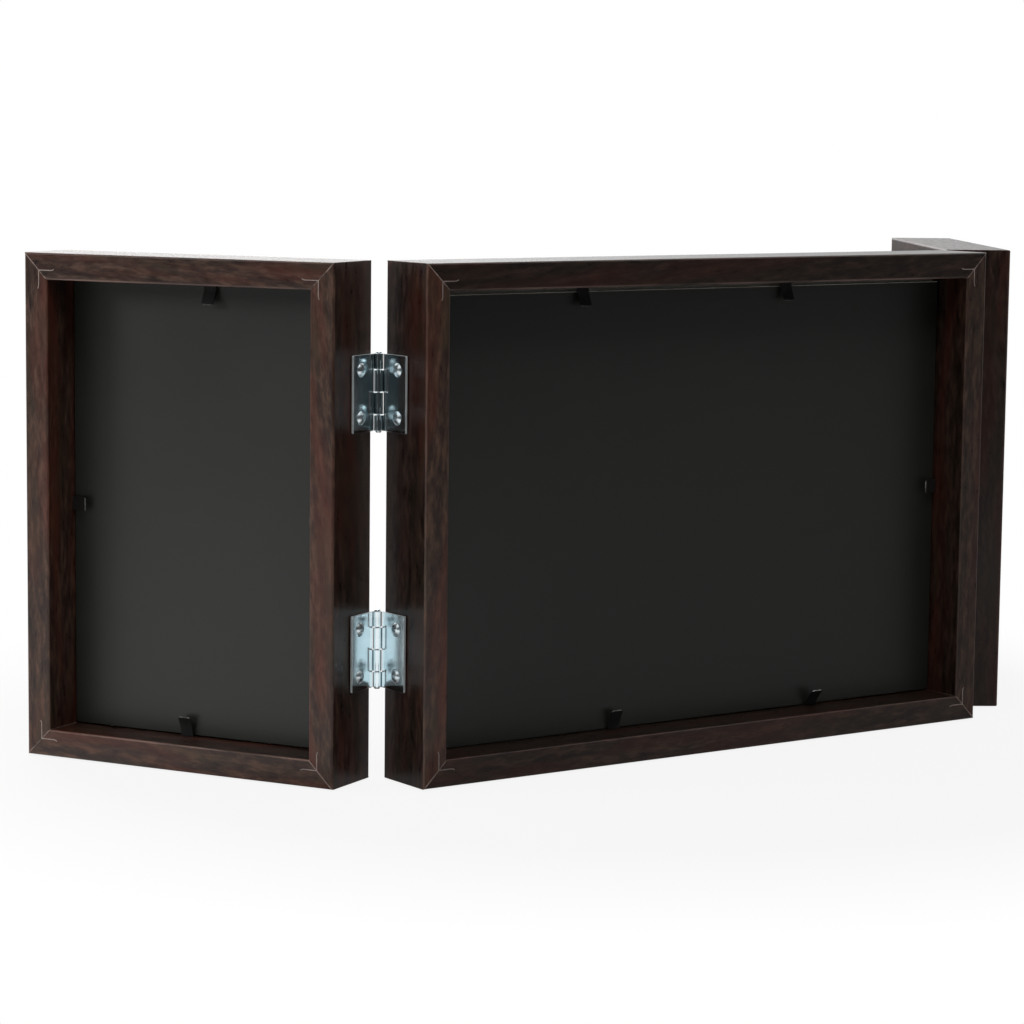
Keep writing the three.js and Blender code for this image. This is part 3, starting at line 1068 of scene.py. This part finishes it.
def countersink(place):  # cut right through the leaf, from below its back to above its face
    hole, mouth, depth = screw["shank"] + screw["seat"], screw["head"] + screw["seat"], screw["headDepth"]
    sink = addRod("countersink", hole, -2 * depth, -depth, screw["sides"])
    startEdit(sink)
    pickFaces(sink, lambda centre, normal: normal.z > mostly)
    pullOut(0, 0, depth - screw["rim"])
    resizeAcross(mouth / hole)
    pullOut(0, 0, depth)
    endEdit()
    sink.data.transform(place)
    return sink


def rolledLeaf():  # pin axis at the origin; the plate lies along +Y against the frame on the -X side
    outer, inner = -hinge["knuckle"], hinge["thickness"] - hinge["knuckle"]
    notchEdge = hinge["knuckle"] + hinge["notch"]
    half = hinge["height"] / 2
    gap = hinge["knuckleGap"] / 2
    spans = ((gap, half - hinge["endKnuckle"] - gap), (-half, hinge["endKnuckle"] - half - gap))
    leaf = addBlock("leaf", (outer, notchEdge, -half), (inner, hinge["reach"], half))
    startEdit(leaf)
    for level in (spans[0][0], spans[0][1], spans[1][1]):
        sliceAt((0, 0, level), (0, 0, 1))
    pickFaces(leaf, lambda centre, normal: normal.y < -mostly and any(a < centre.z < b for a, b in spans))
    pullOut(0, -notchEdge, 0)
    roll = math.pi + math.acos((hinge["slit"] + inner) / hinge["knuckle"])
    bpy.ops.mesh.spin(steps=hinge["rollSteps"], angle=roll, center=(0, 0, 0), axis=(0, 0, -1))
    pickEdges(leaf, lambda a, b: any(onLine(a, b, hinge["reach"], end) for end in (-half, half)))
    roundOff(hinge["corner"], hinge["cornerSteps"])
    pickSharp(leaf, hinge["edgeDegrees"])
    roundOff(hinge["edge"], hinge["edgeSteps"])
    endEdit()
    for end in (-1, 1):
        joinOrCut(leaf, countersink(screwSeat(end)), "DIFFERENCE")
    smoothOver(leaf, hinge["smoothDegrees"])
    return leaf


def crossCutter():
    span, width, depth = screw["crossSpan"] / 2, screw["crossWidth"] / 2, screw["crossDepth"]
    low, high = screw["dome"] - depth, screw["dome"] + depth
    arms = []
    for turn in (0, 90):
        arm = addBlock("crossArm", (-span, -width, low), (span, width, high))
        startEdit(arm)
        pickFaces(arm, lambda centre, normal: normal.z < -mostly)
        resizeAcross(screw["crossTaper"])
        endEdit()
        arm.data.transform(turned(turn, "Z"))
        arms.append(arm)
    joinOrCut(arms[0], arms[1], "UNION")
    return arms[0]


def crossHeadScrew():  # the head's rim in the plane z = 0, tip downwards
    head = screw["head"]
    piece = addRod("screw", head, -screw["rim"], 0, screw["sides"])
    startEdit(piece)
    pickFaces(piece, lambda centre, normal: normal.z < -mostly)
    pullOut(0, 0, screw["rim"] - screw["headDepth"])
    resizeAcross(screw["shank"] / head)
    pullOut(0, 0, screw["headDepth"] + screw["tip"] - screw["length"])
    pullOut(0, 0, -screw["tip"])
    resizeAcross(screw["point"])
    pickFaces(piece, lambda centre, normal: normal.z > mostly)
    ball = (head ** 2 + screw["dome"] ** 2) / (2 * screw["dome"])
    rim = math.asin(head / ball)
    angles = [rim * (1 - step / screw["domeSteps"]) for step in range(screw["domeSteps"])]
    for before, angle in zip(angles, angles[1:]):
        pullOut(0, 0, ball * (math.cos(angle) - math.cos(before)))
        resizeAcross(math.sin(angle) / math.sin(before))
    endEdit()
    joinOrCut(piece, crossCutter(), "DIFFERENCE")
    smoothOver(piece, screw["smoothDegrees"])
    return piece


def peenedPin():
    half = hinge["height"] / 2 + hinge["pinHeadGap"]
    bore = hinge["knuckle"] - hinge["thickness"]
    radius = bore - hinge["pinClearance"]
    pin = addRod("pin", radius, -half, half, hinge["pinSides"])
    startEdit(pin)
    for end in (-1, 1):
        pickFaces(pin, lambda centre, normal: centre.z * end > half - nearly)
        pullOut(0, 0, 0)
        resizeAcross((bore + hinge["pinHeadOverhang"]) / radius)
        pullOut(0, 0, end * hinge["pinHead"])
        pickEdges(pin, lambda a, b: min(a.z * end, b.z * end) > half + hinge["pinHead"] - nearly)
        roundOff(hinge["pinRound"], hinge["pinRoundSteps"])
    endEdit()
    smoothOver(pin, hinge["smoothDegrees"])
    return pin


def cutEdges(leaf):  # the faces round the plate that were sheared
    reach, half, edge = hinge["reach"], hinge["height"] / 2, hinge["edge"]
    return [face.index for face in leaf.data.polygons if abs(face.normal.x) < hinge["shearedLean"]
            and (face.center.y > reach - edge or face.center.y > 0 and abs(face.center.z) > half - edge)]


leafMaster = rolledLeaf()
shearedFaces = cutEdges(leafMaster)
screwMaster = crossHeadScrew()
pinMaster = peenedPin()
hingeCentres = {
    "lower": hinge["inset"] + hinge["height"] / 2,
    "upper": trifold["height"] - hinge["inset"] - hinge["height"] / 2,
}
screwCount = 0


def placeLeaf(name, place):
    leaf = copyPiece(leafMaster, f"{name}_leaf_finished")
    placePiece(leaf, place, finishes["hingeZinc"])
    # the sheared edges take the pale finish, a painted highlight along the leaf's edges
    leaf.data.materials.append(finishes["shearedEdgeAndHighlight"])
    for index in shearedFaces:
        leaf.data.polygons[index].material_index = 1
    standFor(leaf, f"{name}_leaf")


def placeScrew(node, place, turn):
    piece = copyPiece(screwMaster, f"{node}_finished")
    placePiece(piece, place @ turned(turn, "Z"), finishes["screwZinc"])
    standFor(piece, node)


for sideName, side in (("right", 1), ("left", -1)):
    for level, height in hingeCentres.items():
        name = f"{sideName}_{level}_hinge"
        lifted = pinAxis(side) @ Matrix.Translation((0, 0, height))
        pin = copyPiece(pinMaster, f"{name}_pin_finished")
        placePiece(pin, lifted, finishes["hingeZinc"])
        standFor(pin, f"{name}_pin")
        folded = lifted @ wingTurn(side)
        for part, onRight, place in (("frame", side < 0, lifted), ("wing", side > 0, folded)):
            leafPlace = place @ turned(180, "Y") if onRight else place
            placeLeaf(f"{name}_{part}", leafPlace)
            for number, end in ((1, -1), (2, 1)):
                turn = screw["turns"][screwCount % len(screw["turns"])]
                placeScrew(f"{name}_{part}_screw_{number}", leafPlace @ screwSeat(end), turn)
                screwCount += 1
for master in (leafMaster, screwMaster, pinMaster):
    bpy.data.objects.remove(master)
print("hinges: 4, with", screwCount, "screws")


# floor, light and camera

studio = {
    "floorSize": 14.0,
    "floorPlace": (0, -0.05, -0.0005),
    "floorTone": paint(206, 206, 205),
    "floorRoughness": 0.9,
    "floorGlow": 0.88,  # how much of the floor's own white the camera sees near the frames
    "floorFade": (0.2, 0.3),  # where it turns to plain white
    "mirrorGlow": 0.3,  # the floor behind the middle frame, as it is mirrored
    "mirrorFade": (0.16, 0.195),  # along X, where it is mirrored as plain white
    "rearAcross": (1, 0.64, 0),  # it is white further back too, past a slanting line
    "rearFade": (0.126, 0.15),
    "rearStart": (0.1, 0.15),
    "farGlow": 0.25,  # along X, where its white falls off again
    "farFade": (0.7, 2.4),
    "frontFade": (-0.5, -0.28),  # along Y, where the floor before the frames is mirrored dark again
    "ambient": 0.5,
    "lamps": {  # place, size across, power
        "topLamp": ((0.1, 0.05, 1.35), 0.8, 2.0),
        "rearLamp": ((0.4, 0.7, 1.3), 0.6, 6.0),
        "sideLamp": ((1.05, -0.5, 0.45), 0.3, 2.5),
        "frontLamp": ((-0.35, -1.2, 0.9), 1.2, 8.0),
    },
    "aim": (0.03, -0.03, 0.08),
    "flags": {  # cloths around the frames, out of view: two corners, tones below and above
        "greyFlag": ((-1.3, 0.32, 0.02), (-0.03, 0.33, 0.5), paint(192, 192, 190), paint(116, 117, 118)),
        "darkFlag": ((-0.03, 0.32, 0.02), (0.85, 0.33, 0.5), paint(42, 44, 45), paint(38, 40, 41)),
        "sideFlag": ((0.8, -0.5, 0.11), (0.81, 0.35, 0.4), paint(64, 64, 64), paint(64, 64, 64)),
    },
    "mirroredOnly": ("sideFlag",),  # flags that take no light from the frames
    "flagFade": (0.07, 0.12),  # height at which a flag's tone changes
}
lens = {
    "place": (0.6738, 0.8570, 0.2137),
    "heading": 145.18,
    "down": 6.96,
    "roll": 0.63,
    "length": 112.49,
    "sensor": 36.0,
    "nearest": 0.01,
}


def makeFloor():
    bpy.ops.mesh.primitive_plane_add(size=studio["floorSize"], location=studio["floorPlace"])
    floor = bpy.context.object
    floor.name = "floor"
    material, tree, shader = startMaterial("paleFloor")
    fillInputs(tree, shader, {"Base Color": studio["floorTone"], "Roughness": studio["floorRoughness"]})
    place = addNode(tree, "ShaderNodeTexCoord").outputs["Object"]
    spot = addNode(tree, "ShaderNodeSeparateXYZ", {"Vector": place}).outputs
    away = addNode(tree, "ShaderNodeVectorMath", {0: place}, operation="LENGTH").outputs["Value"]
    across = {0: place, 1: studio["rearAcross"]}
    aslant = addNode(tree, "ShaderNodeVectorMath", across, operation="DOT_PRODUCT").outputs["Value"]
    whitened = (studio["mirrorGlow"], 1)
    beside = spreadTo(tree, spot["X"], whitened, studio["mirrorFade"])
    pastLine = spreadTo(tree, aslant, whitened, studio["rearFade"])
    atRear = spreadTo(tree, spot["Y"], whitened, studio["rearStart"])
    nearby = twoValues(tree, "MAXIMUM", beside, twoValues(tree, "MINIMUM", pastLine, atRear))
    faraway = spreadTo(tree, spot["X"], (1, studio["farGlow"]), studio["farFade"])
    before = spreadTo(tree, spot["Y"], whitened, studio["frontFade"])
    mirrored = twoValues(tree, "MULTIPLY", twoValues(tree, "MULTIPLY", nearby, faraway), before)
    path = addNode(tree, "ShaderNodeLightPath").outputs
    seen = path["Is Camera Ray"]
    glow = addNode(tree, "ShaderNodeEmission", {"Strength": twoValues(tree, "MAXIMUM", seen, mirrored)})
    seenShare = spreadTo(tree, away, (studio["floorGlow"], 1), studio["floorFade"])
    shown = twoValues(tree, "MULTIPLY", seenShare, seen)
    blend = addNode(tree, "ShaderNodeMixShader", {
        "Fac": twoValues(tree, "MAXIMUM", shown, path["Is Glossy Ray"]),
        1: shader.outputs["BSDF"], 2: glow.outputs["Emission"],
    })
    fillInputs(tree, tree.nodes["Material Output"], {"Surface": blend.outputs["Shader"]})
    floor.data.materials.append(material)


def addFlag(name, low, high, below, above):
    flag = addBlock(name, low, high)
    flag.visible_camera = False
    flag.visible_diffuse = name not in studio["mirroredOnly"]
    flag.visible_shadow = name not in studio["mirroredOnly"]
    material, tree, shader = startMaterial(f"{name}Cloth")
    place = addNode(tree, "ShaderNodeTexCoord").outputs["Object"]
    height = addNode(tree, "ShaderNodeSeparateXYZ", {"Vector": place}).outputs["Z"]
    risen = spreadTo(tree, height, (0, 1), studio["flagFade"])
    fillInputs(tree, shader, {"Base Color": mixColours(tree, risen, below, above), "Roughness": 1})
    flag.data.materials.append(material)


def makeWorld():  # dim on the frames, and white where a ray shows the background itself
    world = bpy.data.worlds.new("studio")
    world.use_nodes = True
    tree = world.node_tree
    path = addNode(tree, "ShaderNodeLightPath").outputs
    mirrored = twoValues(tree, "MAXIMUM", path["Is Camera Ray"], path["Is Glossy Ray"])
    shown = twoValues(tree, "MAXIMUM", mirrored, path["Is Transmission Ray"])
    level = spreadTo(tree, shown, (studio["ambient"], 1), (0, 1))
    fillInputs(tree, tree.nodes["Background"], {"Color": (1, 1, 1, 1), "Strength": level})
    bpy.context.scene.world = world


def addLamp(name, place, size, power):
    bpy.ops.object.light_add(type="AREA", location=place)
    lamp = bpy.context.object
    lamp.name = name
    lamp.data.shape = "DISK"
    lamp.data.size = size
    lamp.data.energy = power
    lamp.rotation_euler = (Vector(studio["aim"]) - Vector(place)).to_track_quat("-Z", "Y").to_euler()


def makeCamera():
    bpy.ops.object.camera_add(location=lens["place"])
    camera = bpy.context.object
    look = turned(lens["heading"], "Z") @ turned(90 - lens["down"], "X") @ turned(lens["roll"], "Z")
    camera.rotation_euler = look.to_euler()
    camera.data.lens = lens["length"]
    camera.data.sensor_width = lens["sensor"]
    camera.data.clip_start = lens["nearest"]
    bpy.context.scene.camera = camera


makeFloor()
makeWorld()
for name, flag in studio["flags"].items():
    addFlag(name, *flag)
for name, lamp in studio["lamps"].items():
    addLamp(name, *lamp)
makeCamera()
bpy.context.scene.view_settings.view_transform = "Standard"
print("floor, light and camera set")
